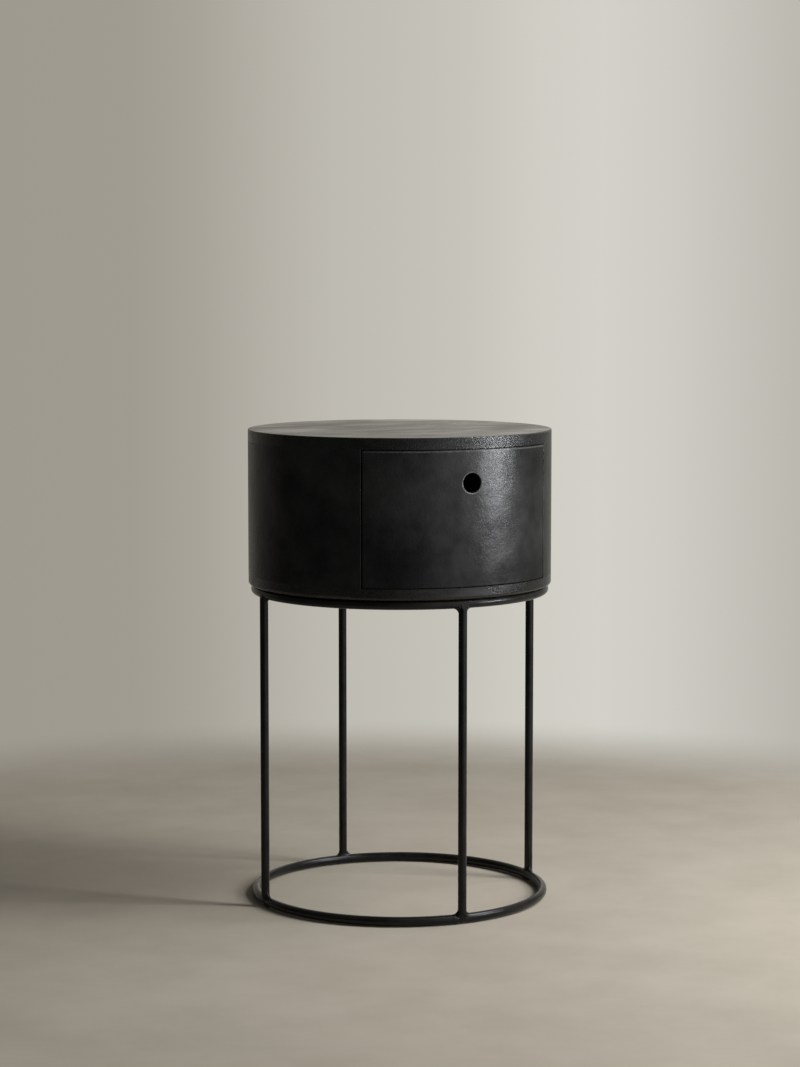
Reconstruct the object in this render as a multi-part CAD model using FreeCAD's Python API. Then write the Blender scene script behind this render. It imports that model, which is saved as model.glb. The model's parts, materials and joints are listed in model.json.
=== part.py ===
import FreeCAD
import Part
import math
import os

from FreeCAD import Rotation, Vector

# Round nightstand: a drum with one curved drawer, on a welded stand of round steel bar.
# Millimetres and degrees. The origin is on the floor under the axis of the drum and +Z is up.
# The drawer faces -Y and slides out that way. Angles around the drum count from -Y towards +X.

# Drum
DRUM_RADIUS = 200.0
DRUM_HEIGHT = 205.0
TOP_PANEL_THICKNESS = 15.0
BOTTOM_PANEL_THICKNESS = 15.0
WALL_THICKNESS = 15.0
TOP_EDGE_ROUND = 1.5
BOTTOM_EDGE_ROUND = 4.5
JAMB_EDGE_ROUND = 0.8

# Drawer front
OPENING_ANGLE = 82.0
FRONT_GAP = 1.0
FRONT_THICKNESS = 15.0
FRONT_CORNER_RADIUS = 2.5
FRONT_EDGE_ROUND = 0.8
FINGER_HOLE_DIAMETER = 25.0
FINGER_HOLE_DROP = 42.0
FINGER_HOLE_ROUND = 1.5

# Drawer box
SIDE_THICKNESS = 12.0
BACK_THICKNESS = 12.0
BASE_THICKNESS = 6.0
BASE_GROOVE_DEPTH = 5.0
BASE_LIFT = 8.0
SIDE_BOTTOM_CLEARANCE = 10.0
SIDE_TOP_CLEARANCE = 45.0
BACK_CORNER_CLEARANCE = 9.0
CORNER_BLOCK_WIDTH = 16.0
CORNER_BLOCK_HEIGHT = 60.0

# Runner panels and ball-bearing runners
RUNNER_PANEL_THICKNESS = 12.0
RUNNER_HEIGHT = 45.0
RUNNER_END_CLEARANCE = 5.4
RUNNER_SIDE_GAP = 1.3
RAIL_SHEET = 1.2
RAIL_LIP = 1.5
LIP_CLEARANCE = 0.8
BALL_DIAMETER = 4.0
BALL_CLEARANCE = 0.05
RACE_DEPTH = 0.3
RACE_EDGE = 1.8
BALLS_PER_ROW = 6
CAGE_SHEET = 0.6
CAGE_CLEARANCE = 0.5
CAGE_END_MARGIN = 8.0
BUMPER_LENGTH = 6.0
REST_GAP = 0.3

# Stand of round bar
STAND_HEIGHT = 417.0
STAND_TURN = -2.8
RING_BAR_DIAMETER = 12.0
RING_INSET = 3.4
LEG_BAR_DIAMETER = 11.0
LEG_OUTSET = 2.6
LEG_END_SLOPE = 15.0
LEG_END_SINK = 0.1
LEG_NAMES = ("front", "right", "back", "left")
WELD_RADIUS = 7.5
WELD_BITE = 0.15
WELD_GAP = 0.02
WELD_END_ANGLE = 5.0
WELD_SECTIONS = 21
GLIDE_HEIGHT = 1.0
GLIDE_WRAP = 0.4
GLIDE_WIDTH = 5.0
GLIDE_LENGTH = 16.0
LUG_LENGTH = 30.0
LUG_WIDTH = 20.0
LUG_THICKNESS = 4.0
LUG_SETBACK = 3.0
LUG_CORNER_RADIUS = 6.0
LUG_HOLE_INSET = 13.0
LUG_HOLE_CLEARANCE = 0.5

# Screws and dowels
SCREW_DIAMETER = 4.0
SCREW_HEAD_DIAMETER = 8.0
SCREW_POINT_LENGTH = 3.0
SCREW_TIP_DIAMETER = 0.6
PAN_HEAD_HEIGHT = 2.8
PAN_HEAD_BEVEL = 1.0
RECESS_SPAN = 4.4
RECESS_WIDTH = 0.9
RECESS_DEPTH = 1.2
SCREW_BITE = 9.0
LONG_SCREW_BITE = 20.0
SCREW_EDGE_MARGIN = 20.0
RAIL_SCREW_MARGIN = 25.0
DOWEL_DIAMETER = 6.0
DOWEL_HALF_LENGTH = 10.0
WALL_DOWELS = 6
WALL_DOWEL_END_ANGLE = 19.0
PANEL_FIXING_SPACING = 140.0

# Heights and radii that follow from the sizes above
DRUM_BOTTOM = GLIDE_HEIGHT + STAND_HEIGHT
DRUM_TOP = DRUM_BOTTOM + DRUM_HEIGHT
BAY_BOTTOM = DRUM_BOTTOM + BOTTOM_PANEL_THICKNESS
BAY_TOP = DRUM_TOP - TOP_PANEL_THICKNESS
WALL_INNER_RADIUS = DRUM_RADIUS - WALL_THICKNESS
FRONT_INNER_RADIUS = DRUM_RADIUS - FRONT_THICKNESS
BAY_RADIUS = min(WALL_INNER_RADIUS, FRONT_INNER_RADIUS)
OPENING_HALF_WIDTH = DRUM_RADIUS * math.sin(math.radians(OPENING_ANGLE / 2))
RING_RADIUS = DRUM_RADIUS - RING_INSET - RING_BAR_DIAMETER / 2
LEG_CIRCLE_RADIUS = RING_RADIUS + LEG_OUTSET
BASE_RING_Z = GLIDE_HEIGHT + RING_BAR_DIAMETER / 2
TOP_RING_Z = DRUM_BOTTOM - RING_BAR_DIAMETER / 2
LEG_ANGLES = [STAND_TURN + 360.0 * index / len(LEG_NAMES) for index in range(len(LEG_NAMES))]
LUG_ANGLES = [angle + 180.0 / len(LEG_NAMES) for angle in LEG_ANGLES]

# Section of a runner, as distances from the face of its runner panel
OUTER_CAGE_AT = RAIL_SHEET + CAGE_CLEARANCE
MIDDLE_RAIL_AT = OUTER_CAGE_AT + CAGE_SHEET + CAGE_CLEARANCE
INNER_CAGE_AT = MIDDLE_RAIL_AT + RAIL_SHEET + CAGE_CLEARANCE
DRAWER_RAIL_AT = INNER_CAGE_AT + CAGE_SHEET + CAGE_CLEARANCE
BALL_AT = DRAWER_RAIL_AT + RACE_EDGE
LIP_AT = BALL_AT + BALL_DIAMETER / 2 + LIP_CLEARANCE
CABINET_RAIL_WIDTH = LIP_AT + RAIL_SHEET
RUNNER_WIDTH = CABINET_RAIL_WIDTH + RUNNER_SIDE_GAP
CAGE_TIP_AT = LIP_AT - CAGE_CLEARANCE

# Section of a runner, as heights above and below its middle
RACE_SPACE = BALL_DIAMETER - 2 * RACE_DEPTH
CABINET_RAIL_HALF = RUNNER_HEIGHT / 2
MIDDLE_RAIL_HALF = CABINET_RAIL_HALF - RAIL_SHEET - RACE_SPACE
DRAWER_RAIL_HALF = MIDDLE_RAIL_HALF - RAIL_SHEET - RACE_SPACE
OUTER_BALL_HEIGHT = MIDDLE_RAIL_HALF + RACE_SPACE / 2
INNER_BALL_HEIGHT = DRAWER_RAIL_HALF + RACE_SPACE / 2

# Length of the runners, front to back about the axis of the drum
RUNNER_BACK = math.sqrt(BAY_RADIUS ** 2 - OPENING_HALF_WIDTH ** 2) - RUNNER_END_CLEARANCE
MOVING_RAIL_BACK = RUNNER_BACK - BUMPER_LENGTH - REST_GAP
CAGE_LENGTH = RUNNER_BACK - 2 * CAGE_END_MARGIN
RAIL_SCREW_PLACES = [side * (RUNNER_BACK - RAIL_SCREW_MARGIN) for side in (-1, 0, 1)]

# Drawer box
FRONT_HALF_WIDTH = OPENING_HALF_WIDTH - FRONT_GAP
FRONT_BOTTOM = BAY_BOTTOM + FRONT_GAP
FRONT_TOP = BAY_TOP - FRONT_GAP
FINGER_HOLE_Z = FRONT_TOP - FINGER_HOLE_DROP
BOX_HALF_WIDTH = OPENING_HALF_WIDTH - RUNNER_WIDTH
BOX_INNER_HALF_WIDTH = BOX_HALF_WIDTH - SIDE_THICKNESS
BOX_BACK = math.sqrt((BAY_RADIUS - BACK_CORNER_CLEARANCE) ** 2 - BOX_HALF_WIDTH ** 2)
BOX_INNER_BACK = BOX_BACK - BACK_THICKNESS
SIDE_BOTTOM = BAY_BOTTOM + SIDE_BOTTOM_CLEARANCE
SIDE_TOP = BAY_TOP - SIDE_TOP_CLEARANCE
RUNNER_Z = (SIDE_BOTTOM + SIDE_TOP) / 2
BASE_BOTTOM = SIDE_BOTTOM + BASE_LIFT
BASE_TOP = BASE_BOTTOM + BASE_THICKNESS
BLOCK_INNER_X = BOX_INNER_HALF_WIDTH - CORNER_BLOCK_WIDTH
BLOCK_BACK = CORNER_BLOCK_WIDTH - math.sqrt(FRONT_INNER_RADIUS ** 2 - BOX_INNER_HALF_WIDTH ** 2)

UP = Vector(0, 0, 1)
FORWARD = Vector(0, -1, 0)
BACKWARD = Vector(0, 1, 0)
RIGHT = Vector(1, 0, 0)
LEFT = Vector(-1, 0, 0)
CENTRE = Vector(0, 0, 0)

# How close a point has to lie to a surface to count as on it
TOUCH = 0.001

# How far a cut runs from the axis to be sure to leave the drum
BEYOND = 2 * DRUM_RADIUS


# Helpers

def block(x_start, x_end, y_start, y_end, z_start, z_end):
    """A box between two corners."""
    return Part.makeBox(x_end - x_start, y_end - y_start, z_end - z_start, Vector(x_start, y_start, z_start))


def disc(radius, z_start, z_end):
    """An upright cylinder on the axis of the drum."""
    return Part.makeCylinder(radius, z_end - z_start, Vector(0, 0, z_start))


def spun(shape, angle):
    """A copy turned about the axis of the drum."""
    copy = shape.copy()
    copy.rotate(CENTRE, UP, angle)
    return copy


def mirrored(shape):
    """The left-hand copy of a right-hand shape."""
    return shape.mirror(CENTRE, RIGHT)


def both_sides(shapes):
    """Right-hand shapes together with their left-hand copies."""
    return shapes + [mirrored(shape) for shape in shapes]


def aimed(shape, place, direction):
    """A shape made along +Z, turned to point in a direction and moved to its place."""
    copy = shape.copy()
    copy.Placement = FreeCAD.Placement(place, Rotation(UP, direction))
    return copy


def upright_edges(shape):
    """The straight edges of a shape that run up and down."""
    return [edge for edge in shape.Edges if max(edge.BoundBox.XLength, edge.BoundBox.YLength) < TOUCH]


def round_face(shape, radius):
    """The face of a shape that is part of a cylinder of one radius."""
    for face in shape.Faces:
        if isinstance(face.Surface, Part.Cylinder) and abs(face.Surface.Radius - radius) < TOUCH:
            return face


def turned_solid(profile):
    """A solid turned about Z from (radius, height) points that begin and end on the axis."""
    points = [Vector(radius, 0, height) for radius, height in profile]
    face = Part.Face(Part.makePolygon(points + points[:1]))
    return face.revolve(CENTRE, UP, 360)


# Screws and dowels, made along +Z

def screw_shank(length):
    """The lower end of a screw's profile, from the shank down to the point."""
    radius = SCREW_DIAMETER / 2
    return [(radius, length - SCREW_POINT_LENGTH), (SCREW_TIP_DIAMETER / 2, length), (0, length)]


def countersunk_body(length):
    """A countersunk screw without its recess, with the face of its head at z 0."""
    head_depth = (SCREW_HEAD_DIAMETER - SCREW_DIAMETER) / 2
    head = [(0, 0), (SCREW_HEAD_DIAMETER / 2, 0), (SCREW_DIAMETER / 2, head_depth)]
    return turned_solid(head + screw_shank(length))


def pan_head_body(length):
    """A pan-head screw without its recess, with the bearing face of its head at z 0."""
    rim = SCREW_HEAD_DIAMETER / 2
    crown = [(0, -PAN_HEAD_HEIGHT), (rim - PAN_HEAD_BEVEL, -PAN_HEAD_HEIGHT)]
    edge = [(rim, PAN_HEAD_BEVEL - PAN_HEAD_HEIGHT), (rim, 0), (SCREW_DIAMETER / 2, 0)]
    return turned_solid(crown + edge + screw_shank(length))


def driver_recess(z_face):
    """The cross that takes the screwdriver, cut down from the face of the head."""
    half_span = RECESS_SPAN / 2
    half_width = RECESS_WIDTH / 2
    bottom = z_face + RECESS_DEPTH
    one_way = block(-half_span, half_span, -half_width, half_width, z_face, bottom)
    other_way = block(-half_width, half_width, -half_span, half_span, z_face, bottom)
    return one_way.fuse(other_way)


def countersunk_screw(length):
    """A countersunk screw with its cross recess."""
    return countersunk_body(length).cut(driver_recess(0))


def pan_head_screw(length):
    """A pan-head screw with its cross recess."""
    return pan_head_body(length).cut(driver_recess(-PAN_HEAD_HEIGHT))


def dowels(places):
    """Upright dowels, each centred on its place."""
    half = Vector(0, 0, DOWEL_HALF_LENGTH)
    return [Part.makeCylinder(DOWEL_DIAMETER / 2, 2 * DOWEL_HALF_LENGTH, place - half) for place in places]


# Stand

def ring(z_middle, gap=0.0):
    """One closed ring of round bar, or the room for it with a gap all round."""
    return Part.makeTorus(RING_RADIUS, RING_BAR_DIAMETER / 2 + gap, Vector(0, 0, z_middle))


def front_bar(gap=0.0):
    """The straight bar of the front leg before its ends are shaped, or the room for it with a gap all round."""
    lap = RING_BAR_DIAMETER / 2 * math.sin(math.radians(LEG_END_SLOPE))
    foot = Vector(0, -LEG_CIRCLE_RADIUS, BASE_RING_Z - lap)
    return Part.makeCylinder(LEG_BAR_DIAMETER / 2 + gap, TOP_RING_Z - BASE_RING_Z + 2 * lap, foot)


def end_slope(z_middle, side):
    """What is ground off the end of a leg, so that it slopes onto the outer side of the ring."""
    slope = math.radians(LEG_END_SLOPE)
    off_ring = Vector(math.cos(slope), 0, side * math.sin(slope))
    along = Vector(-math.sin(slope), 0, side * math.cos(slope)) * LEG_BAR_DIAMETER
    contact = Vector(RING_RADIUS, 0, z_middle) + off_ring * (RING_BAR_DIAMETER / 2 - LEG_END_SINK)
    corners = [contact + along, contact - along, contact + off_ring * LEG_BAR_DIAMETER]
    return Part.Face(Part.makePolygon(corners + corners[:1])).revolve(CENTRE, UP, 360)


def leg(angle):
    """One upright bar, coped to the inside of both rings and lapping a little over their outer side."""
    slopes = [end_slope(BASE_RING_Z, -1), end_slope(TOP_RING_Z, 1)]
    return spun(front_bar().cut([ring(BASE_RING_Z), ring(TOP_RING_Z)] + slopes), angle)


def weld_start():
    """The turn from the outer side of a leg at which a ball of the weld's radius rests on both bars."""
    ball_circle = LEG_BAR_DIAMETER / 2 + WELD_RADIUS
    rim = RING_RADIUS + RING_BAR_DIAMETER / 2 + WELD_RADIUS
    across = rim ** 2 - LEG_CIRCLE_RADIUS ** 2 - ball_circle ** 2
    return math.acos(across / (2 * LEG_CIRCLE_RADIUS * ball_circle)) + math.radians(WELD_END_ANGLE)


def weld_section(turn):
    """The hollow section of the weld between the front leg and the base ring, at one turn about the leg."""
    outwards = Vector(math.sin(turn), -math.cos(turn), 0)
    below = Vector(0, -LEG_CIRCLE_RADIUS, BASE_RING_Z) + outwards * (LEG_BAR_DIAMETER / 2 + WELD_RADIUS)
    aside = math.hypot(below.x, below.y) - RING_RADIUS
    ball = below + UP * math.sqrt((RING_BAR_DIAMETER / 2 + WELD_RADIUS) ** 2 - aside ** 2)
    ring_middle = Vector(below.x, below.y, 0).normalize() * RING_RADIUS + UP * BASE_RING_Z
    to_ring = (ring_middle - ball).normalize()
    to_corner = (to_ring - outwards).normalize()
    on_leg = ball - outwards * (WELD_RADIUS + WELD_BITE)
    on_ring = ball + to_ring * (WELD_RADIUS + WELD_BITE)
    in_bars = (on_leg + on_ring) / 2 + to_corner * WELD_RADIUS
    hollow = Part.Arc(on_leg, ball + to_corner * WELD_RADIUS, on_ring).toShape()
    return Part.Wire([hollow, Part.makeLine(on_ring, in_bars), Part.makeLine(in_bars, on_leg)])


def front_base_bead():
    """The weld that flares the front leg into the base ring, a hair clear of both bars."""
    first = weld_start()
    step = 2 * (math.pi - first) / (WELD_SECTIONS - 1)
    sections = [weld_section(first + step * index) for index in range(WELD_SECTIONS)]
    return Part.makeLoft(sections, True).cut([ring(BASE_RING_Z, WELD_GAP), front_bar(WELD_GAP)])


def base_weld_beads():
    """The four welds at the feet of the legs."""
    bead = front_base_bead()
    return [spun(bead, angle) for angle in LEG_ANGLES]


def top_weld_beads():
    """The four welds at the heads of the legs."""
    middle = Vector(0, 0, (BASE_RING_Z + TOP_RING_Z) / 2)
    bead = front_base_bead().mirror(middle, UP)
    return [spun(bead, angle) for angle in LEG_ANGLES]


def floor_glides():
    """Thin saddle-topped pads under the base ring at each leg."""
    half_width = GLIDE_WIDTH / 2
    half_length = GLIDE_LENGTH / 2
    top = GLIDE_HEIGHT + GLIDE_WRAP
    band = disc(RING_RADIUS + half_width, 0, top).cut(disc(RING_RADIUS - half_width, 0, top))
    pad = band.common(block(-half_length, half_length, -BEYOND, 0, 0, top)).cut(ring(BASE_RING_Z))
    return [spun(pad, angle) for angle in LEG_ANGLES]


def lug_hole_place():
    """Where the screw goes through the underside of the front lug, before it is turned to its angle."""
    inner_end = RING_RADIUS - LUG_SETBACK - LUG_LENGTH
    return Vector(0, -inner_end - LUG_HOLE_INSET, DRUM_BOTTOM - LUG_THICKNESS)


def mounting_lugs():
    """Flat steel lugs welded inside the top ring, level with its crown."""
    outer_end = RING_RADIUS - LUG_SETBACK
    half_width = LUG_WIDTH / 2
    lug_bottom = DRUM_BOTTOM - LUG_THICKNESS
    lug = block(-half_width, half_width, -outer_end, LUG_LENGTH - outer_end, lug_bottom, DRUM_BOTTOM)
    inner_corners = [edge for edge in upright_edges(lug) if edge.CenterOfMass.y > LUG_LENGTH / 2 - outer_end]
    lug = lug.makeFillet(LUG_CORNER_RADIUS, inner_corners)
    hole_radius = SCREW_DIAMETER / 2 + LUG_HOLE_CLEARANCE
    hole = Part.makeCylinder(hole_radius, LUG_THICKNESS, lug_hole_place())
    lug = lug.cut([hole, ring(TOP_RING_Z)])
    return [spun(lug, angle) for angle in LUG_ANGLES]


def lug_screws(make):
    """The screws that hold the drum down on the lugs."""
    screw = aimed(make(LUG_THICKNESS + SCREW_BITE), lug_hole_place(), UP)
    return [spun(screw, angle) for angle in LUG_ANGLES]


# Drum

def rim_edges(board, z_level):
    """The circle around a round board at one height."""
    return [edge for edge in board.Edges if abs(edge.BoundBox.ZMin - z_level) < TOUCH
            and edge.BoundBox.ZLength < TOUCH]


def panel_fixing_places(z_level):
    """Points over the middle of the right runner panel's edge, where it is screwed and dowelled."""
    x_middle = OPENING_HALF_WIDTH + RUNNER_PANEL_THICKNESS / 2
    half_spacing = PANEL_FIXING_SPACING / 2
    return [Vector(x_middle, y_place, z_level) for y_place in (-half_spacing, half_spacing)]


def runner_panel_screws(make):
    """Screws up through the bottom panel into the runner panels, with their heads flush."""
    length = BOTTOM_PANEL_THICKNESS + LONG_SCREW_BITE
    return both_sides([aimed(make(length), place, UP) for place in panel_fixing_places(DRUM_BOTTOM)])


def runner_panel_dowels():
    """Dowels from the runner panels up into the top panel."""
    return both_sides(dowels(panel_fixing_places(BAY_TOP)))


def wall_dowels():
    """Dowels from the wall down into the bottom panel and up into the top panel."""
    first = OPENING_ANGLE / 2 + WALL_DOWEL_END_ANGLE
    step = (360.0 - 2 * first) / (WALL_DOWELS - 1)
    middle_radius = DRUM_RADIUS - WALL_THICKNESS / 2
    pair = dowels([Vector(0, -middle_radius, BAY_BOTTOM), Vector(0, -middle_radius, BAY_TOP)])
    return [spun(dowel, first + step * index) for index in range(WALL_DOWELS) for dowel in pair]


def bottom_panel():
    """The round board under the drawer, softened where it meets the stand."""
    board = disc(DRUM_RADIUS, DRUM_BOTTOM, BAY_BOTTOM)
    board = board.makeFillet(BOTTOM_EDGE_ROUND, rim_edges(board, DRUM_BOTTOM))
    screws = lug_screws(pan_head_body) + runner_panel_screws(countersunk_body)
    return board.cut(screws + wall_dowels())


def top_panel():
    """The round table top."""
    board = disc(DRUM_RADIUS, BAY_TOP, DRUM_TOP)
    board = board.makeFillet(TOP_EDGE_ROUND, rim_edges(board, DRUM_TOP))
    return board.cut(runner_panel_dowels() + wall_dowels())


def drum_wall():
    """The curved wall between the panels, open in front for the drawer."""
    shell = disc(DRUM_RADIUS, BAY_BOTTOM, BAY_TOP).cut(disc(WALL_INNER_RADIUS, BAY_BOTTOM, BAY_TOP))
    half = OPENING_HALF_WIDTH
    shell = shell.cut(block(-half, half, -BEYOND, 0, BAY_BOTTOM, BAY_TOP))
    outer_corner = math.sqrt(DRUM_RADIUS ** 2 - half ** 2)
    jamb_edges = [edge for edge in upright_edges(shell) if abs(edge.CenterOfMass.y + outer_corner) < TOUCH]
    shell = shell.makeFillet(JAMB_EDGE_ROUND, jamb_edges)
    return shell.cut(wall_dowels())


def right_runner_panel():
    """The upright board that carries the right runner, level with the side of the opening."""
    outer_x = OPENING_HALF_WIDTH + RUNNER_PANEL_THICKNESS
    board = block(OPENING_HALF_WIDTH, outer_x, -BEYOND, BEYOND, BAY_BOTTOM, BAY_TOP)
    board = board.common(disc(WALL_INNER_RADIUS, BAY_BOTTOM, BAY_TOP))
    fixings = runner_panel_screws(countersunk_body) + runner_panel_dowels()
    return board.cut(fixings + right_cabinet_rail_screws(countersunk_body))


# Runners, right-hand side

def runner_bar(section, y_start, y_end):
    """A straight bar from a section of (distance from the runner panel, height from the middle) points."""
    points = [Vector(OPENING_HALF_WIDTH - across, y_start, RUNNER_Z + up) for across, up in section]
    face = Part.Face(Part.makePolygon(points + points[:1]))
    return face.extrude(Vector(0, y_end - y_start, 0))


def channel(web, tip, half_height, sheet):
    """Section of a bent channel: the outer face of its web, the tips of its flanges and half its height."""
    inner = web + math.copysign(sheet, tip - web)
    upper = [(inner, half_height - sheet), (tip, half_height - sheet), (tip, half_height), (web, half_height)]
    lower = [(across, -up) for across, up in reversed(upper)]
    return lower + upper


def ball_places(height):
    """Centres of the balls in the upper and lower row at one height from the middle of the runner."""
    pitch = CAGE_LENGTH / BALLS_PER_ROW
    first = -pitch * (BALLS_PER_ROW - 1) / 2
    x_place = OPENING_HALF_WIDTH - BALL_AT
    return [Vector(x_place, first + pitch * index, RUNNER_Z + side * height)
            for side in (-1, 1) for index in range(BALLS_PER_ROW)]


def races(height):
    """The round grooves that both rows of balls at one height run in."""
    radius = BALL_DIAMETER / 2 + BALL_CLEARANCE
    x_place = OPENING_HALF_WIDTH - BALL_AT
    starts = [Vector(x_place, -RUNNER_BACK, RUNNER_Z + side * height) for side in (-1, 1)]
    return [Part.makeCylinder(radius, 2 * RUNNER_BACK, start, BACKWARD) for start in starts]


def right_cabinet_rail_screws(make):
    """Screws through the fixed rail into the runner panel, with their heads flush."""
    x_face = OPENING_HALF_WIDTH - RAIL_SHEET
    length = RAIL_SHEET + SCREW_BITE
    return [aimed(make(length), Vector(x_face, y_place, RUNNER_Z), RIGHT) for y_place in RAIL_SCREW_PLACES]


def right_drawer_rail_screws(make):
    """Screws through the moving rail into the side of the drawer, with their heads flush."""
    x_face = BOX_HALF_WIDTH + RAIL_SHEET
    length = RAIL_SHEET + SCREW_BITE
    return [aimed(make(length), Vector(x_face, y_place, RUNNER_Z), LEFT) for y_place in RAIL_SCREW_PLACES]


def right_cabinet_rail():
    """The rail fixed to the runner panel, with lips that keep the outer balls in."""
    section = channel(0, CABINET_RAIL_WIDTH, CABINET_RAIL_HALF, RAIL_SHEET)
    rail = runner_bar(section, -RUNNER_BACK, RUNNER_BACK)
    lip_foot = CABINET_RAIL_HALF - RAIL_SHEET
    for side in (-1, 1):
        lip_ends = (side * lip_foot, side * (lip_foot - RAIL_LIP))
        lip = [(LIP_AT, lip_ends[0]), (CABINET_RAIL_WIDTH, lip_ends[0])]
        lip = lip + [(CABINET_RAIL_WIDTH, lip_ends[1]), (LIP_AT, lip_ends[1])]
        rail = rail.fuse(runner_bar(lip, -RUNNER_BACK, RUNNER_BACK))
    rail = rail.removeSplitter()
    return rail.cut(races(OUTER_BALL_HEIGHT) + right_cabinet_rail_screws(countersunk_body))


def right_middle_rail():
    """The rail between the two others, pierced so that the fixed rail's screws can be reached."""
    section = channel(MIDDLE_RAIL_AT, LIP_AT, MIDDLE_RAIL_HALF, RAIL_SHEET)
    rail = runner_bar(section, -RUNNER_BACK, MOVING_RAIL_BACK)
    hole_radius = SCREW_HEAD_DIAMETER / 2 + LIP_CLEARANCE
    x_start = OPENING_HALF_WIDTH - MIDDLE_RAIL_AT - RAIL_SHEET
    holes = [Part.makeCylinder(hole_radius, RAIL_SHEET, Vector(x_start, y_place, RUNNER_Z), RIGHT)
             for y_place in RAIL_SCREW_PLACES]
    return rail.cut(races(OUTER_BALL_HEIGHT) + races(INNER_BALL_HEIGHT) + holes)


def right_drawer_rail():
    """The rail fixed to the side of the drawer."""
    section = channel(RUNNER_WIDTH, DRAWER_RAIL_AT, DRAWER_RAIL_HALF, RAIL_SHEET)
    rail = runner_bar(section, -RUNNER_BACK, MOVING_RAIL_BACK)
    return rail.cut(races(INNER_BALL_HEIGHT) + right_drawer_rail_screws(countersunk_body))


def right_ball_cage(web, ball_height):
    """A thin channel whose flanges hold one upper and one lower row of balls apart."""
    section = channel(web, CAGE_TIP_AT, ball_height + CAGE_SHEET / 2, CAGE_SHEET)
    cage = runner_bar(section, -CAGE_LENGTH / 2, CAGE_LENGTH / 2)
    hole_radius = BALL_DIAMETER / 2 + 2 * BALL_CLEARANCE
    half_depth = Vector(0, 0, CAGE_SHEET)
    holes = [Part.makeCylinder(hole_radius, 2 * CAGE_SHEET, place - half_depth)
             for place in ball_places(ball_height)]
    return cage.cut(holes)


def right_balls(ball_height):
    """The balls of one cage."""
    return [Part.makeSphere(BALL_DIAMETER / 2, place) for place in ball_places(ball_height)]


def right_closing_bumper():
    """The rubber block at the back of the fixed rail that the closing drawer comes to rest on."""
    top = CABINET_RAIL_HALF - RAIL_SHEET
    section = [(RAIL_SHEET, -top), (LIP_AT, -top), (LIP_AT, top), (RAIL_SHEET, top)]
    return runner_bar(section, RUNNER_BACK - BUMPER_LENGTH, RUNNER_BACK)


# Drawer

def drawer_base():
    """The thin board grooved into all four walls of the drawer, curved in front."""
    half_width = BOX_INNER_HALF_WIDTH + BASE_GROOVE_DEPTH
    back = BOX_INNER_BACK + BASE_GROOVE_DEPTH
    board = block(-half_width, half_width, -BEYOND, back, BASE_BOTTOM, BASE_TOP)
    return board.common(disc(FRONT_INNER_RADIUS + BASE_GROOVE_DEPTH, BASE_BOTTOM, BASE_TOP))


def drawer_front():
    """The curved front, flush with the drum, with its finger hole and the groove for the base."""
    half = FRONT_HALF_WIDTH
    outline = block(-half, half, -BEYOND, 0, FRONT_BOTTOM, FRONT_TOP)
    corner_edges = [edge for edge in outline.Edges if edge.BoundBox.YLength > DRUM_RADIUS]
    outline = outline.makeFillet(FRONT_CORNER_RADIUS, corner_edges)
    curved = disc(DRUM_RADIUS, FRONT_BOTTOM, FRONT_TOP).cut(disc(FRONT_INNER_RADIUS, FRONT_BOTTOM, FRONT_TOP))
    hole = Part.makeCylinder(FINGER_HOLE_DIAMETER / 2, BEYOND, Vector(0, 0, FINGER_HOLE_Z), FORWARD)
    front = curved.common(outline).cut(hole)
    outer_face = round_face(front, DRUM_RADIUS)
    rim = outer_face.OuterWire.Edges
    mouth = [edge for edge in outer_face.Edges if not any(edge.isSame(other) for other in rim)]
    front = front.makeFillet(FINGER_HOLE_ROUND, mouth)
    front = front.makeFillet(FRONT_EDGE_ROUND, round_face(front, DRUM_RADIUS).OuterWire.Edges)
    return front.cut([drawer_base()] + corner_block_screws(countersunk_body))


def right_drawer_side():
    """The right side of the drawer, scribed to the curve of the front."""
    board = block(BOX_INNER_HALF_WIDTH, BOX_HALF_WIDTH, -BEYOND, BOX_BACK, SIDE_BOTTOM, SIDE_TOP)
    board = board.common(disc(FRONT_INNER_RADIUS, SIDE_BOTTOM, SIDE_TOP))
    fixings = right_drawer_rail_screws(countersunk_body) + drawer_back_screws(countersunk_body)
    return board.cut([drawer_base()] + fixings + corner_block_screws(countersunk_body))


def drawer_back():
    """The back of the drawer, between its sides."""
    half = BOX_INNER_HALF_WIDTH
    board = block(-half, half, BOX_INNER_BACK, BOX_BACK, SIDE_BOTTOM, SIDE_TOP)
    return board.cut([drawer_base()] + drawer_back_screws(countersunk_body))


def drawer_back_screws(make):
    """Screws through the sides into the ends of the back."""
    y_place = BOX_BACK - BACK_THICKNESS / 2
    heights = (BASE_TOP + SCREW_EDGE_MARGIN, SIDE_TOP - SCREW_EDGE_MARGIN)
    places = [Vector(BOX_HALF_WIDTH, y_place, z_place) for z_place in heights]
    return both_sides([aimed(make(SIDE_THICKNESS + LONG_SCREW_BITE), place, LEFT) for place in places])


def corner_blocks():
    """Blocks that tie the sides of the drawer to the curved front."""
    top = BASE_TOP + CORNER_BLOCK_HEIGHT
    stick = block(BLOCK_INNER_X, BOX_INNER_HALF_WIDTH, -BEYOND, BLOCK_BACK, BASE_TOP, top)
    stick = stick.common(disc(FRONT_INNER_RADIUS, BASE_TOP, top))
    return both_sides([stick.cut(corner_block_screws(countersunk_body))])


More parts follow.
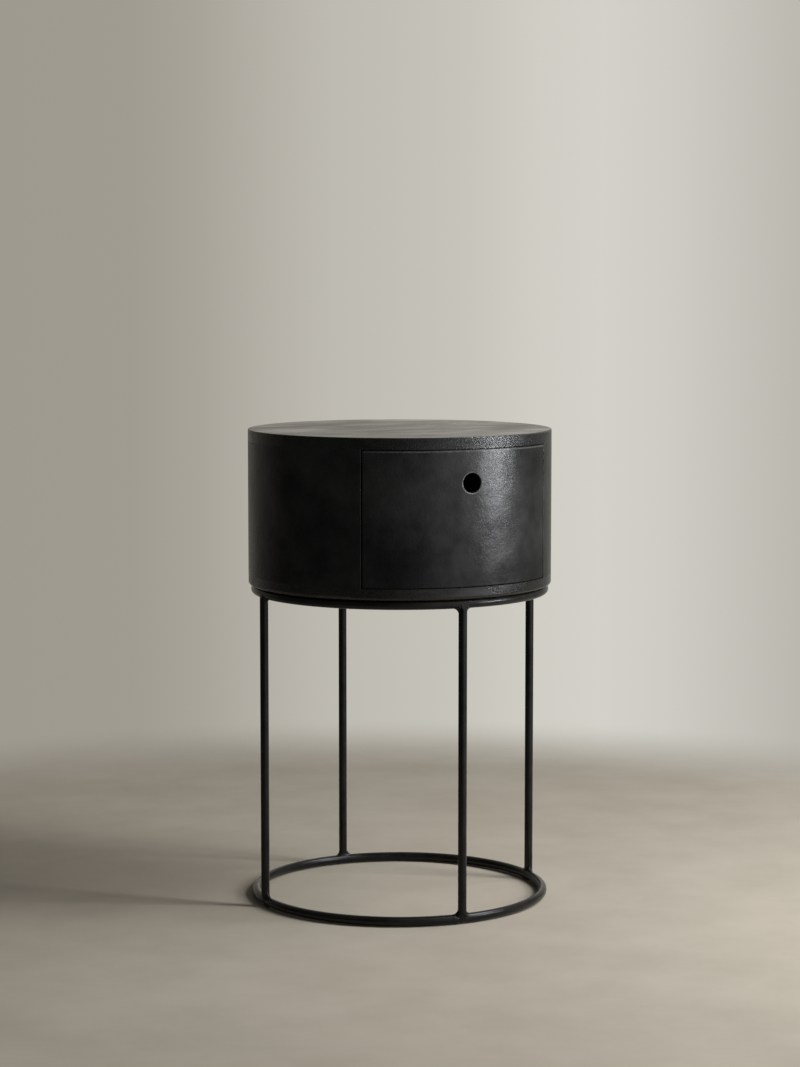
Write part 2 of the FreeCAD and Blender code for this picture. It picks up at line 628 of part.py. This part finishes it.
def corner_block_screws(make):
    """In each corner block two screws into the front and, between them, one into the side."""
    x_middle = (BLOCK_INNER_X + BOX_INNER_HALF_WIDTH) / 2
    y_middle = BLOCK_BACK - CORNER_BLOCK_WIDTH / 2
    y_front = -math.sqrt(FRONT_INNER_RADIUS ** 2 - x_middle ** 2)
    quarter = CORNER_BLOCK_HEIGHT / 4
    front_length = BLOCK_BACK - y_front + SCREW_BITE
    screws = [aimed(make(front_length), Vector(x_middle, BLOCK_BACK, BASE_TOP + count * quarter), FORWARD)
              for count in (1, 3)]
    side_place = Vector(BLOCK_INNER_X, y_middle, BASE_TOP + 2 * quarter)
    screws.append(aimed(make(CORNER_BLOCK_WIDTH + SCREW_BITE), side_place, RIGHT))
    return both_sides(screws)


# Nodes

def paired_nodes():
    """Nodes that come as a right-hand and a left-hand piece."""
    return {
        "runner_panel": right_runner_panel(),
        "cabinet_rail": right_cabinet_rail(),
        "middle_rail": right_middle_rail(),
        "drawer_rail": right_drawer_rail(),
        "outer_ball_cage": right_ball_cage(OUTER_CAGE_AT, OUTER_BALL_HEIGHT),
        "inner_ball_cage": right_ball_cage(INNER_CAGE_AT, INNER_BALL_HEIGHT),
        "outer_balls": Part.makeCompound(right_balls(OUTER_BALL_HEIGHT)),
        "inner_balls": Part.makeCompound(right_balls(INNER_BALL_HEIGHT)),
        "drawer_side": right_drawer_side(),
    }


def single_nodes():
    """Nodes that there is one of, the groups of small pieces among them."""
    return {
        "base_ring": ring(BASE_RING_Z),
        "top_ring": ring(TOP_RING_Z),
        "base_weld_beads": Part.makeCompound(base_weld_beads()),
        "top_weld_beads": Part.makeCompound(top_weld_beads()),
        "floor_glides": Part.makeCompound(floor_glides()),
        "mounting_lugs": Part.makeCompound(mounting_lugs()),
        "lug_screws": Part.makeCompound(lug_screws(pan_head_screw)),
        "bottom_panel": bottom_panel(),
        "top_panel": top_panel(),
        "drum_wall": drum_wall(),
        "wall_dowels": Part.makeCompound(wall_dowels()),
        "runner_panel_dowels": Part.makeCompound(runner_panel_dowels()),
        "runner_panel_screws": Part.makeCompound(runner_panel_screws(countersunk_screw)),
        "cabinet_rail_screws": Part.makeCompound(both_sides(right_cabinet_rail_screws(countersunk_screw))),
        "drawer_rail_screws": Part.makeCompound(both_sides(right_drawer_rail_screws(countersunk_screw))),
        "closing_bumpers": Part.makeCompound(both_sides([right_closing_bumper()])),
        "drawer_front": drawer_front(),
        "drawer_back": drawer_back(),
        "drawer_base": drawer_base(),
        "corner_blocks": Part.makeCompound(corner_blocks()),
        "corner_block_screws": Part.makeCompound(corner_block_screws(countersunk_screw)),
        "drawer_back_screws": Part.makeCompound(drawer_back_screws(countersunk_screw)),
    }


def all_nodes():
    """Every node of the nightstand by name."""
    nodes = single_nodes()
    for name, angle in zip(LEG_NAMES, LEG_ANGLES):
        nodes["leg_" + name] = leg(angle)
    for name, shape in paired_nodes().items():
        nodes["right_" + name] = shape
        nodes["left_" + name] = mirrored(shape)
    return nodes


os.makedirs("parts", exist_ok=True)
for node_name, node_shape in all_nodes().items():
    node_shape.exportStep(os.path.join("parts", node_name + ".step"))
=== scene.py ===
import bmesh
import bpy
import json
import math
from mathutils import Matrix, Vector


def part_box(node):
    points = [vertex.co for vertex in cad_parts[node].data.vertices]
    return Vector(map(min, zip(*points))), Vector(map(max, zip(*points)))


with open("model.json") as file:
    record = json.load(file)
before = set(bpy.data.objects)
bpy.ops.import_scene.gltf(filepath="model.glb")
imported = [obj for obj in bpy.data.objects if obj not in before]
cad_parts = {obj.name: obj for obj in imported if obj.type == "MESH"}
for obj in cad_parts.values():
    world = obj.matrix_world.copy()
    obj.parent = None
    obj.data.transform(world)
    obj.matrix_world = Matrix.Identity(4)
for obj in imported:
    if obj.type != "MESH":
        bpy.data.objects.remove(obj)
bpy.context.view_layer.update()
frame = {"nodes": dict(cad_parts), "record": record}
nodes = frame["nodes"]
openings = {opening["name"]: opening["box_m"] for opening in frame["record"]["physics"]["openings"]}

# Camera of the photograph, in metres and degrees, with its lens in millimetres.
# Azimuth counts from -Y towards +X, and distances are from the axis of the drum.
CAMERA_DISTANCE = 3.5927
CAMERA_HEIGHT = 0.846
CAMERA_AZIMUTH = -27.15
CAMERA_TURN = -27.156
CAMERA_PITCH = 5.763
CAMERA_LENS = 92.1
SENSOR_LONG_SIDE = 36.0

# Surround, as (degrees to the right of the way to the camera, colour) stops
SURROUND = (
    (-180.0, (0.54, 0.52, 0.465, 1.0)),
    (-174.0, (0.35, 0.327, 0.283, 1.0)),
    (-160.0, (0.28, 0.26, 0.222, 1.0)),
    (-126.0, (0.15, 0.14, 0.12, 1.0)),
    (-100.0, (0.05, 0.05, 0.047, 1.0)),
    (-60.0, (0.10, 0.10, 0.096, 1.0)),
    (-20.0, (0.06, 0.06, 0.058, 1.0)),
    (10.0, (0.155, 0.155, 0.152, 1.0)),
    (35.0, (0.64, 0.645, 0.65, 1.0)),
    (55.0, (0.86, 0.865, 0.87, 1.0)),
    (90.0, (0.42, 0.42, 0.425, 1.0)),
    (115.0, (0.25, 0.245, 0.23, 1.0)),
    (140.0, (0.23, 0.225, 0.205, 1.0)),
    (170.0, (0.46, 0.445, 0.40, 1.0)),
    (176.0, (0.65, 0.635, 0.58, 1.0)),
    (180.0, (0.54, 0.52, 0.465, 1.0)),
)

# Floor, which is solid under the object and fades out further away
FLOOR_COLOURS = ((0.252, 0.225, 0.182, 1.0), (0.28, 0.25, 0.205, 1.0))
FLOOR_RADIUS = 2.4
FLOOR_SOLID_RADIUS = 0.85
FLOOR_FADED_RADIUS = 1.4
FLOOR_SEGMENTS = 96

# Lights: a key light that reflections don't show, a high lamp that the bars mirror, and a low strip that
# the drum mirrors. Each points at a height on the axis of the drum, and its power is in watts.
KEY_LIGHT = dict(azimuth=48.0, distance=2.3, height=1.5, aim=0.5, width=0.75, tall=1.8, power=110.0)
HIGH_LIGHT = dict(azimuth=62.0, distance=1.35, height=1.9, aim=0.4, width=1.3, tall=0.6, power=28.0)
STRIP_LIGHT = dict(azimuth=43.6, distance=1.16, height=0.585, aim=0.585, width=0.36, tall=0.06, power=4.7)
LIGHT_COLOUR = (0.95, 0.97, 1.0)

# Refraction of the finishes, which sets how strongly they mirror
WALL_IOR = 1.42
PANEL_IOR = 1.45
PAINT_IOR = 1.33
WOOD_IOR = 1.4

# Depth of the finishes' relief, in metres
WALL_RELIEF = 0.00009
PANEL_RELIEF = 0.00018
PAINT_RELIEF = 0.00002
WELD_RELIEF = 0.0003
SEAM_RELIEF = 0.0006
WOOD_RELIEF = 0.0001
PLATING_RELIEF = 0.00002
DOWEL_RELIEF = 0.0001
MOULDED_RELIEF = 0.00005

# Features to the metre in the texture of the paint, on the bars, on the welds and on the closing weld
PAINT_LUMPS = 900.0
WELD_LUMPS = 420.0
SEAM_LUMPS = 380.0

# Heights above the floor: painted shade darkens the drum's colour and gloss below the first, painted light
# lifts them above the second, in metres
PAINTED_SHADE_BELOW = 0.45
PAINTED_LIGHT_ABOVE = 0.56

# How far the normal of a round board points up or down at the end of its edge and the start of its face
EDGE_END = 0.3
FACE_START = 0.9

# Rim of the finger hole, painted a lighter grey partly as wear and partly as a painted highlight, as
# distances from the hole's middle, with soft ends
RIM_START = 0.0129
RIM_END = 0.0141
RIM_SOFT = 0.0003

# Painted highlight on the drawer front, standing in for light caught by its rounded upper edge, as depths
# under its upper edge, with soft ends
STRIPE_BOTTOM = 0.0024
STRIPE_TOP = 0.0012
STRIPE_SOFT = 0.0006
STRIPE_SHARE = 0.6
# Lighter grey painted on the hole's rim, as wear and as a painted highlight, and under the upper edge as a
# painted highlight
WORN_AND_HIGHLIGHT_COLOUR = (0.075, 0.073, 0.07, 1.0)

# Weld that closes the base ring: its place on the ring, and how far from its middle the lumps reach
SEAM_AZIMUTH = -5.6
SEAM_FULL_REACH = 0.0062
SEAM_LAST_REACH = 0.0074

# How much finer the wood's grain is across a board than along it, and the same for the rails' brushed lines
GRAIN_SQUEEZE = 14.0
BRUSH_SQUEEZE = 20.0

# Colour sockets of a mix node, found by number because its sockets share their names
MIX_ONE = 6
MIX_OTHER = 7
MIX_RESULT = 2


# Helpers for colours, places and shader nodes

def grey(value):
    """A colour without a hue."""
    return (value, value, value, 1.0)


def polar(azimuth, distance, height):
    """A point at an azimuth and a distance from the axis of the drum."""
    angle = math.radians(azimuth)
    return Vector((distance * math.sin(angle), -distance * math.cos(angle), height))


def add(tree, kind, inputs=None, **settings):
    """Add one node with its options, and set or join its inputs by name or number."""
    node = tree.nodes.new(kind)
    for name, value in settings.items():
        setattr(node, name, value)
    for name, value in (inputs or {}).items():
        if isinstance(value, bpy.types.NodeSocket):
            tree.links.new(value, node.inputs[name])
        else:
            node.inputs[name].default_value = value
    return node


def new_material(name, colour, roughness, **constants):
    """A material with its shader's plain values set, ready for textures."""
    material = bpy.data.materials.new(name)
    material.use_nodes = True
    shader = material.node_tree.nodes["Principled BSDF"]
    shader.inputs["Base Color"].default_value = colour
    shader.inputs["Roughness"].default_value = roughness
    for socket, value in constants.items():
        shader.inputs[socket.replace("_", " ")].default_value = value
    return material


def place(tree):
    """The place on the object in its own frame, in metres."""
    return add(tree, "ShaderNodeTexCoord").outputs["Object"]


def upward(tree, vector):
    """The upward part of a place or a direction."""
    return add(tree, "ShaderNodeSeparateXYZ", {"Vector": vector}).outputs["Z"]


def distance_to(tree, coords, point):
    """How far each place is from a point, in metres."""
    return add(tree, "ShaderNodeVectorMath", {0: coords, 1: point}, operation="DISTANCE").outputs["Value"]


def noise_in(tree, coords, scale, detail, stretch=(1.0, 1.0, 1.0), rough=0.5, swirl=0.0):
    """Noise with so many features to the metre, squeezed by a factor along each axis."""
    squeezed = add(tree, "ShaderNodeMapping", {"Vector": coords, "Scale": stretch}).outputs["Vector"]
    values = {"Vector": squeezed, "Scale": scale, "Detail": detail, "Roughness": rough, "Distortion": swirl}
    return add(tree, "ShaderNodeTexNoise", values).outputs["Fac"]


def spread(tree, value, low, high, start=0.3, end=0.7):
    """Stretch a value from one span, by default the usual span of a noise, to a wanted span."""
    values = {"Value": value, "From Min": start, "From Max": end, "To Min": low, "To Max": high}
    return add(tree, "ShaderNodeMapRange", values).outputs["Result"]


def sway(tree, noise, by):
    """A noise as a change up or down by at most this much."""
    return spread(tree, noise, low=-by, high=by)


def total(tree, *values):
    """The sum of several values."""
    result = values[0]
    for value in values[1:]:
        result = add(tree, "ShaderNodeMath", {0: result, 1: value}, operation="ADD").outputs[0]
    return result


def product(tree, one, other):
    """Two values multiplied."""
    return add(tree, "ShaderNodeMath", {0: one, 1: other}, operation="MULTIPLY").outputs[0]


def pulse(tree, value, start, end, soft):
    """One between two values and zero outside them, with soft ends."""
    rise = spread(tree, value, low=0.0, high=1.0, start=start - soft, end=start)
    fall = spread(tree, value, low=1.0, high=0.0, start=end, end=end + soft)
    return product(tree, rise, fall)


def ramp(tree, value, stops, between="LINEAR"):
    """A colour for each value, from (place, colour) stops."""
    node = add(tree, "ShaderNodeValToRGB", {"Fac": value})
    node.color_ramp.interpolation = between
    elements = node.color_ramp.elements
    while len(elements) < len(stops):
        elements.new(1.0)
    for element, (at, colour) in zip(elements, stops):
        element.position = at
        element.color = colour
    return node.outputs["Color"]


def mixed(tree, share, one, other):
    """Two colours mixed by a share of the other."""
    inputs = {"Factor": share, MIX_ONE: one, MIX_OTHER: other}
    return add(tree, "ShaderNodeMix", data_type="RGBA", inputs=inputs).outputs[MIX_RESULT]


def bump(tree, height, relief):
    """A surface normal raised by a height value, where a height of one is this relief in metres."""
    values = {"Height": height, "Distance": relief, "Strength": 1.0}
    return add(tree, "ShaderNodeBump", values).outputs["Normal"]


def finish_surface(material, colour, roughness, normal=None, gloss=None):
    """Join the textures that a material has to its shader."""
    tree = material.node_tree
    shader = tree.nodes["Principled BSDF"]
    joined = {"Base Color": colour, "Roughness": roughness, "Normal": normal, "Specular IOR Level": gloss}
    for socket, value in joined.items():
        if value is not None:
            tree.links.new(value, shader.inputs[socket])
    return material


# Materials

def wear_and_highlight_share(tree, coords):
    """Where the drawer front is painted lighter: the rim of its hole, partly as wear and partly as a painted
    highlight, and a band under its upper edge as a painted highlight.
    """
    hole_low, hole_high = (Vector(corner) for corner in openings["finger_hole"])
    hole = (hole_low + hole_high) / 2
    front_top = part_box("drawer_front")[1].z
    flattened = {0: coords, 1: (1.0, 0.0, 1.0)}
    on_front = add(tree, "ShaderNodeVectorMath", flattened, operation="MULTIPLY").outputs[0]
    away = distance_to(tree, on_front, (hole.x, 0.0, hole.z))
    rim = pulse(tree, away, RIM_START, RIM_END, RIM_SOFT)
    height = upward(tree, coords)
    stripe = pulse(tree, height, front_top - STRIPE_BOTTOM, front_top - STRIPE_TOP, STRIPE_SOFT)
    return total(tree, rim, spread(tree, stripe, low=0.0, high=STRIPE_SHARE, start=0.0, end=1.0))


def black_wall(name, rubbed_and_highlit):
    """Rubbed black finish on the drum's wall and drawer front: cloudy, with a fine grain, with painted shade
    towards the bottom and painted light towards the top, and on the front a painted highlight on the hole's
    rim and under the upper edge.
    """
    material = new_material(name, grey(0.006), roughness=0.3, IOR=WALL_IOR)
    tree = material.node_tree
    coords = place(tree)
    billows = noise_in(tree, coords, scale=13.0, detail=6.0, rough=0.58)
    # Painted shade and light: colour and gloss go darker towards the bottom and lighter towards the top,
    # standing in for the highlight fading lower down
    painted_light_falloff = spread(tree, upward(tree, coords), low=-0.07, high=0.05, start=PAINTED_SHADE_BELOW, end=PAINTED_LIGHT_ABOVE)
    clouds = total(tree, billows, painted_light_falloff)
    wisps = noise_in(tree, coords, scale=60.0, detail=4.0, rough=0.6)
    strokes = noise_in(tree, coords, scale=9.0, detail=3.0, stretch=(1.0, 1.0, 40.0))
    specks = noise_in(tree, coords, scale=320.0, detail=3.0, rough=0.7)
    waves = noise_in(tree, coords, scale=24.0, detail=3.0)
    colour = ramp(tree, clouds, [(0.38, grey(0.0036)), (0.64, (0.0132, 0.013, 0.0126, 1.0))])
    cloudy = spread(tree, clouds, low=0.26, high=0.36)
    roughness = total(tree, cloudy, sway(tree, wisps, by=0.015), sway(tree, strokes, by=0.012))
    gloss = total(tree, spread(tree, clouds, low=0.36, high=0.6), sway(tree, wisps, by=0.06))
    height = total(
        tree,
        spread(tree, specks, low=0.0, high=0.85),
        spread(tree, strokes, low=0.0, high=0.15),
        spread(tree, waves, low=0.0, high=5.0),
    )
    # Painted highlight on the drawer front: a lighter grey on the hole's rim, which also stands for wear, and
    # a band under the upper edge
    if rubbed_and_highlit:
        bare_and_highlit = ramp(tree, specks, [(0.3, grey(0.02)), (0.6, WORN_AND_HIGHLIGHT_COLOUR)])
        colour = mixed(tree, wear_and_highlight_share(tree, coords), colour, bare_and_highlit)
    return finish_surface(material, colour, roughness, bump(tree, height, WALL_RELIEF), gloss)


def black_panel():
    """Black finish on the two round boards: rubbed faces with browner patches, and a pebbled edge."""
    material = new_material("black_panel", grey(0.007), roughness=0.26, IOR=PANEL_IOR)
    tree = material.node_tree
    coords = place(tree)
    up = upward(tree, add(tree, "ShaderNodeNewGeometry").outputs["Normal"])
    flat = add(tree, "ShaderNodeMath", {0: up}, operation="ABSOLUTE").outputs[0]
    on_edge = spread(tree, flat, low=1.0, high=0.0, start=EDGE_END, end=FACE_START)
    on_face = spread(tree, flat, low=0.0, high=1.0, start=EDGE_END, end=FACE_START)
    patches = noise_in(tree, coords, scale=9.0, detail=5.0, stretch=(0.7, 1.4, 1.0), rough=0.6, swirl=0.5)
    strokes = noise_in(tree, coords, scale=14.0, detail=4.0, stretch=(1.0, 10.0, 10.0))
    pebbles = noise_in(tree, coords, scale=560.0, detail=2.0, rough=0.6)
    face_colour = ramp(tree, patches, [
        (0.36, (0.008, 0.0068, 0.0052, 1.0)),
        (0.55, (0.015, 0.012, 0.0085, 1.0)),
        (0.68, (0.034, 0.023, 0.015, 1.0)),
    ])
    edge_colour = ramp(tree, pebbles, [(0.4, grey(0.004)), (0.65, (0.008, 0.0078, 0.0075, 1.0))])
    colour = mixed(tree, on_edge, face_colour, edge_colour)
    face_roughness = total(tree, spread(tree, patches, low=0.12, high=0.36), sway(tree, strokes, by=0.06))
    edge_roughness = product(tree, on_edge, spread(tree, pebbles, low=0.0, high=0.08))
    roughness = total(tree, face_roughness, edge_roughness)
    brushed = product(tree, on_face, spread(tree, strokes, low=0.0, high=0.3))
    pebbled = product(tree, on_edge, spread(tree, pebbles, low=0.0, high=1.0))
    normal = bump(tree, total(tree, brushed, pebbled), PANEL_RELIEF)
    gloss = total(tree, spread(tree, patches, low=0.58, high=0.42), sway(tree, strokes, by=0.1))
    return finish_surface(material, colour, roughness, normal, gloss)


def black_paint(name, lumps, relief, seam=None):
    """Satin black paint on steel, with its fine texture, and lumps where a bar's ends are welded together."""
    material = new_material(name, grey(0.005), roughness=0.24, IOR=PAINT_IOR)
    tree = material.node_tree
    coords = place(tree)
    patches = noise_in(tree, coords, scale=60.0, detail=3.0)
    peel = noise_in(tree, coords, scale=lumps, detail=2.0)
    colour = ramp(tree, patches, [(0.35, grey(0.0035)), (0.65, (0.007, 0.0067, 0.006, 1.0))])
    roughness = spread(tree, patches, low=0.17, high=0.27)
    if seam is None:
        return finish_surface(material, colour, roughness, bump(tree, peel, relief))
    away = distance_to(tree, coords, seam)
    near = spread(tree, away, low=1.0, high=0.0, start=SEAM_FULL_REACH, end=SEAM_LAST_REACH)
    blobs = noise_in(tree, coords, scale=SEAM_LUMPS, detail=2.0)
    bead = product(tree, near, spread(tree, blobs, low=0.4, high=1.0))
    height = total(tree, bead, spread(tree, peel, low=0.0, high=0.05))
    return finish_surface(material, colour, roughness, bump(tree, height, SEAM_RELIEF))


def stained_wood(name, along):
    """Dark stained board, with its grain along one axis."""
    material = new_material(name, (0.03, 0.024, 0.019, 1.0), roughness=0.5, IOR=WOOD_IOR)
    tree = material.node_tree
    coords = place(tree)
    stretch = [1.0 if axis == along else GRAIN_SQUEEZE for axis in "xyz"]
    grain = noise_in(tree, coords, scale=10.0, detail=6.0, stretch=stretch, rough=0.65)
    pores = noise_in(tree, coords, scale=60.0, detail=3.0, stretch=stretch)
    colour = ramp(tree, grain, [
        (0.34, (0.021, 0.017, 0.0143, 1.0)),
        (0.5, (0.044, 0.035, 0.027, 1.0)),
        (0.66, (0.074, 0.058, 0.044, 1.0)),
    ])
    roughness = spread(tree, grain, low=0.42, high=0.58)
    height = total(tree, spread(tree, grain, low=0.0, high=0.4), spread(tree, pores, low=0.0, high=0.6))
    return finish_surface(material, colour, roughness, bump(tree, height, WOOD_RELIEF))


def plated_steel(name, dark, light, smooth, rough, squeeze=1.0):
    """Cloudy plated steel, with fine lines that run along the runners where squeeze is more than one."""
    material = new_material(name, light, roughness=0.3, Metallic=1.0)
    tree = material.node_tree
    coords = place(tree)
    clouds = noise_in(tree, coords, scale=120.0, detail=3.0)
    lines = noise_in(tree, coords, scale=30.0, detail=3.0, stretch=(squeeze, 1.0, squeeze))
    colour = ramp(tree, clouds, [(0.35, dark), (0.65, light)])
    roughness = total(tree, spread(tree, clouds, low=smooth, high=rough), sway(tree, lines, by=0.04))
    return finish_surface(material, colour, roughness, bump(tree, lines, PLATING_RELIEF))


def speckled(name, dark, light, smooth, rough, scale, relief):
    """A matt moulded or raw surface with a fine grain."""
    material = new_material(name, light, roughness=0.6)
    tree = material.node_tree
    coords = place(tree)
    grain = noise_in(tree, coords, scale=scale, detail=3.0)
    colour = ramp(tree, grain, [(0.35, dark), (0.65, light)])
    roughness = spread(tree, grain, low=smooth, high=rough)
    return finish_surface(material, colour, roughness, bump(tree, grain, relief))


def floor_material():
    """A pale floor that fades into the surround away from the object."""
    material = new_material("floor", FLOOR_COLOURS[0], roughness=0.7, Specular_IOR_Level=0.0)
    tree = material.node_tree
    coords = place(tree)
    mottle = noise_in(tree, coords, scale=7.0, detail=8.0, rough=0.6)
    colour = ramp(tree, mottle, [(0.35, FLOOR_COLOURS[0]), (0.65, FLOOR_COLOURS[1])])
    finish_surface(material, colour, spread(tree, mottle, low=0.6, high=0.75))
    away = add(tree, "ShaderNodeVectorMath", {0: coords}, operation="LENGTH").outputs["Value"]
    values = {"Value": away, "From Min": FLOOR_SOLID_RADIUS, "From Max": FLOOR_FADED_RADIUS}
    faded = add(tree, "ShaderNodeMapRange", values, interpolation_type="SMOOTHSTEP").outputs["Result"]
    solid = tree.nodes["Principled BSDF"].outputs["BSDF"]
    see_through = add(tree, "ShaderNodeBsdfTransparent").outputs["BSDF"]
    fade = add(tree, "ShaderNodeMixShader", {0: faded, 1: solid, 2: see_through})
    tree.links.new(fade.outputs["Shader"], tree.nodes["Material Output"].inputs["Surface"])
    return material


# Camera, surround, floor and lights

def add_object(name, data):
    """Put new data in the scene."""
    thing = bpy.data.objects.new(name, data)
    bpy.context.scene.collection.objects.link(thing)
    return thing


def make_camera():
    """The camera at the place and with the lens of the photograph."""
    data = bpy.data.cameras.new("camera")
    data.lens = CAMERA_LENS
    data.sensor_width = SENSOR_LONG_SIDE
    camera = add_object("camera", data)
    camera.location = polar(CAMERA_AZIMUTH, CAMERA_DISTANCE, CAMERA_HEIGHT)
    camera.rotation_euler = (math.radians(90.0 - CAMERA_PITCH), 0.0, math.radians(CAMERA_TURN))
    bpy.context.scene.camera = camera


def make_world():
    """A surround that is pale to the right of the camera and behind the object, and dim elsewhere."""
    world = bpy.data.worlds.new("studio")
    world.use_nodes = True
    tree = world.node_tree
    direction = add(tree, "ShaderNodeTexCoord").outputs["Generated"]
    turn = (0.0, 0.0, math.radians(90.0 - CAMERA_AZIMUTH))
    from_camera = add(tree, "ShaderNodeMapping", {"Vector": direction, "Rotation": turn}).outputs["Vector"]
    around = add(tree, "ShaderNodeTexGradient", {"Vector": from_camera}, gradient_type="RADIAL")
    # The gradient runs once around from 0 to 1, with the way to the camera in its middle
    stops = [(0.5 + degrees / 360.0, colour) for degrees, colour in SURROUND]
    colour = ramp(tree, around.outputs["Fac"], stops, between="EASE")
    tree.links.new(colour, tree.nodes["Background"].inputs["Color"])
    bpy.context.scene.world = world


def make_floor():
    """A round floor under the object."""
    mesh = bpy.data.meshes.new("floor")
    shape = bmesh.new()
    bmesh.ops.create_circle(shape, cap_ends=True, radius=FLOOR_RADIUS, segments=FLOOR_SEGMENTS)
    shape.to_mesh(mesh)
    shape.free()
    mesh.materials.append(floor_material())
    add_object("floor", mesh)


def make_light(name, azimuth, distance, height, aim, width, tall, power):
    """A soft rectangular light that points at a height on the axis of the drum."""
    data = bpy.data.lights.new(name, "AREA")
    data.shape = "RECTANGLE"
    data.size = width
    data.size_y = tall
    data.energy = power
    data.color = LIGHT_COLOUR
    light = add_object(name, data)
    light.location = polar(azimuth, distance, height)
    direction = Vector((0.0, 0.0, aim)) - light.location
    light.rotation_euler = direction.to_track_quat("-Z", "Y").to_euler()
    return light


# Finishes of the CAD nodes

def dress(material, *names):
    """Give CAD nodes a material."""
    for name in names:
        for material_slot in nodes[name].material_slots:
            material_slot.material = material


def sides(*names):
    """The left-hand and right-hand nodes of these names."""
    return [f"{side}_{name}" for name in names for side in ("left", "right")]


def dress_drum():
    """The wall, the drawer front with its painted highlights and wear, and the two round boards."""
    dress(black_wall("black_wall", rubbed_and_highlit=False), "drum_wall")
    dress(black_wall("black_front", rubbed_and_highlit=True), "drawer_front")
    dress(black_panel(), "top_panel", "bottom_panel")


def dress_stand():
    """The bars, the base ring with the weld that closes it, and the welds at the legs."""
    bars = ["top_ring", "leg_front", "leg_right", "leg_back", "leg_left"]
    dress(black_paint("bar_paint", PAINT_LUMPS, PAINT_RELIEF), "mounting_lugs", "lug_screws", *bars)
    ring_low, ring_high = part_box("base_ring")
    bar_radius = (ring_high.z - ring_low.z) / 2
    seam = polar(SEAM_AZIMUTH, ring_high.x - bar_radius, ring_low.z + bar_radius)
    dress(black_paint("ring_paint", PAINT_LUMPS, PAINT_RELIEF, seam), "base_ring")
    dress(black_paint("weld_paint", WELD_LUMPS, WELD_RELIEF), "base_weld_beads", "top_weld_beads")


def dress_boards():
    """The boards of the drawer box, the runner panels and the corner blocks."""
    dress(stained_wood("long_boards", along="y"), "drawer_base", *sides("drawer_side", "runner_panel"))
    dress(stained_wood("back_board", along="x"), "drawer_back")
    dress(stained_wood("upright_blocks", along="z"), "corner_blocks")


def dress_runners():
    """The rails, the ball cages and the balls."""
    zinc = plated_steel("zinc", dark=(0.52, 0.53, 0.54, 1.0), light=(0.60, 0.61, 0.62, 1.0),
                        smooth=0.28, rough=0.35, squeeze=BRUSH_SQUEEZE)
    dress(zinc, *sides("cabinet_rail", "middle_rail", "drawer_rail"))
    yellow = plated_steel("yellow_zinc", dark=(0.42, 0.32, 0.14, 1.0), light=(0.60, 0.48, 0.24, 1.0),
                          smooth=0.3, rough=0.42)
    dress(yellow, *sides("outer_ball_cage", "inner_ball_cage"))
    polished = plated_steel("polished_steel", dark=(0.58, 0.58, 0.59, 1.0), light=(0.68, 0.68, 0.69, 1.0),
                            smooth=0.08, rough=0.14)
    dress(polished, *sides("outer_balls", "inner_balls"))


def dress_small_pieces():
    """The screws, the dowels, the bumpers and the glides."""
    screw = plated_steel("screw_steel", dark=grey(0.36), light=grey(0.52), smooth=0.3, rough=0.44)
    dress(screw, "runner_panel_screws", "cabinet_rail_screws", "drawer_rail_screws")
    dress(screw, "corner_block_screws", "drawer_back_screws")
    dowel = speckled("dowel_wood", dark=(0.36, 0.24, 0.13, 1.0), light=(0.50, 0.36, 0.21, 1.0),
                     smooth=0.55, rough=0.7, scale=260.0, relief=DOWEL_RELIEF)
    dress(dowel, "wall_dowels", "runner_panel_dowels")
    rubber = speckled("rubber", dark=grey(0.012), light=grey(0.022),
                      smooth=0.6, rough=0.75, scale=900.0, relief=MOULDED_RELIEF)
    dress(rubber, "closing_bumpers")
    plastic = speckled("glide_plastic", dark=grey(0.03), light=grey(0.05),
                       smooth=0.45, rough=0.6, scale=700.0, relief=MOULDED_RELIEF)
    dress(plastic, "floor_glides")


make_camera()
make_world()
make_floor()
make_light("key", **KEY_LIGHT).visible_glossy = False
make_light("high", **HIGH_LIGHT)
make_light("strip", **STRIP_LIGHT)
dress_drum()
dress_stand()
dress_boards()
dress_runners()
dress_small_pieces()
bpy.context.scene.view_settings.view_transform = "Standard"
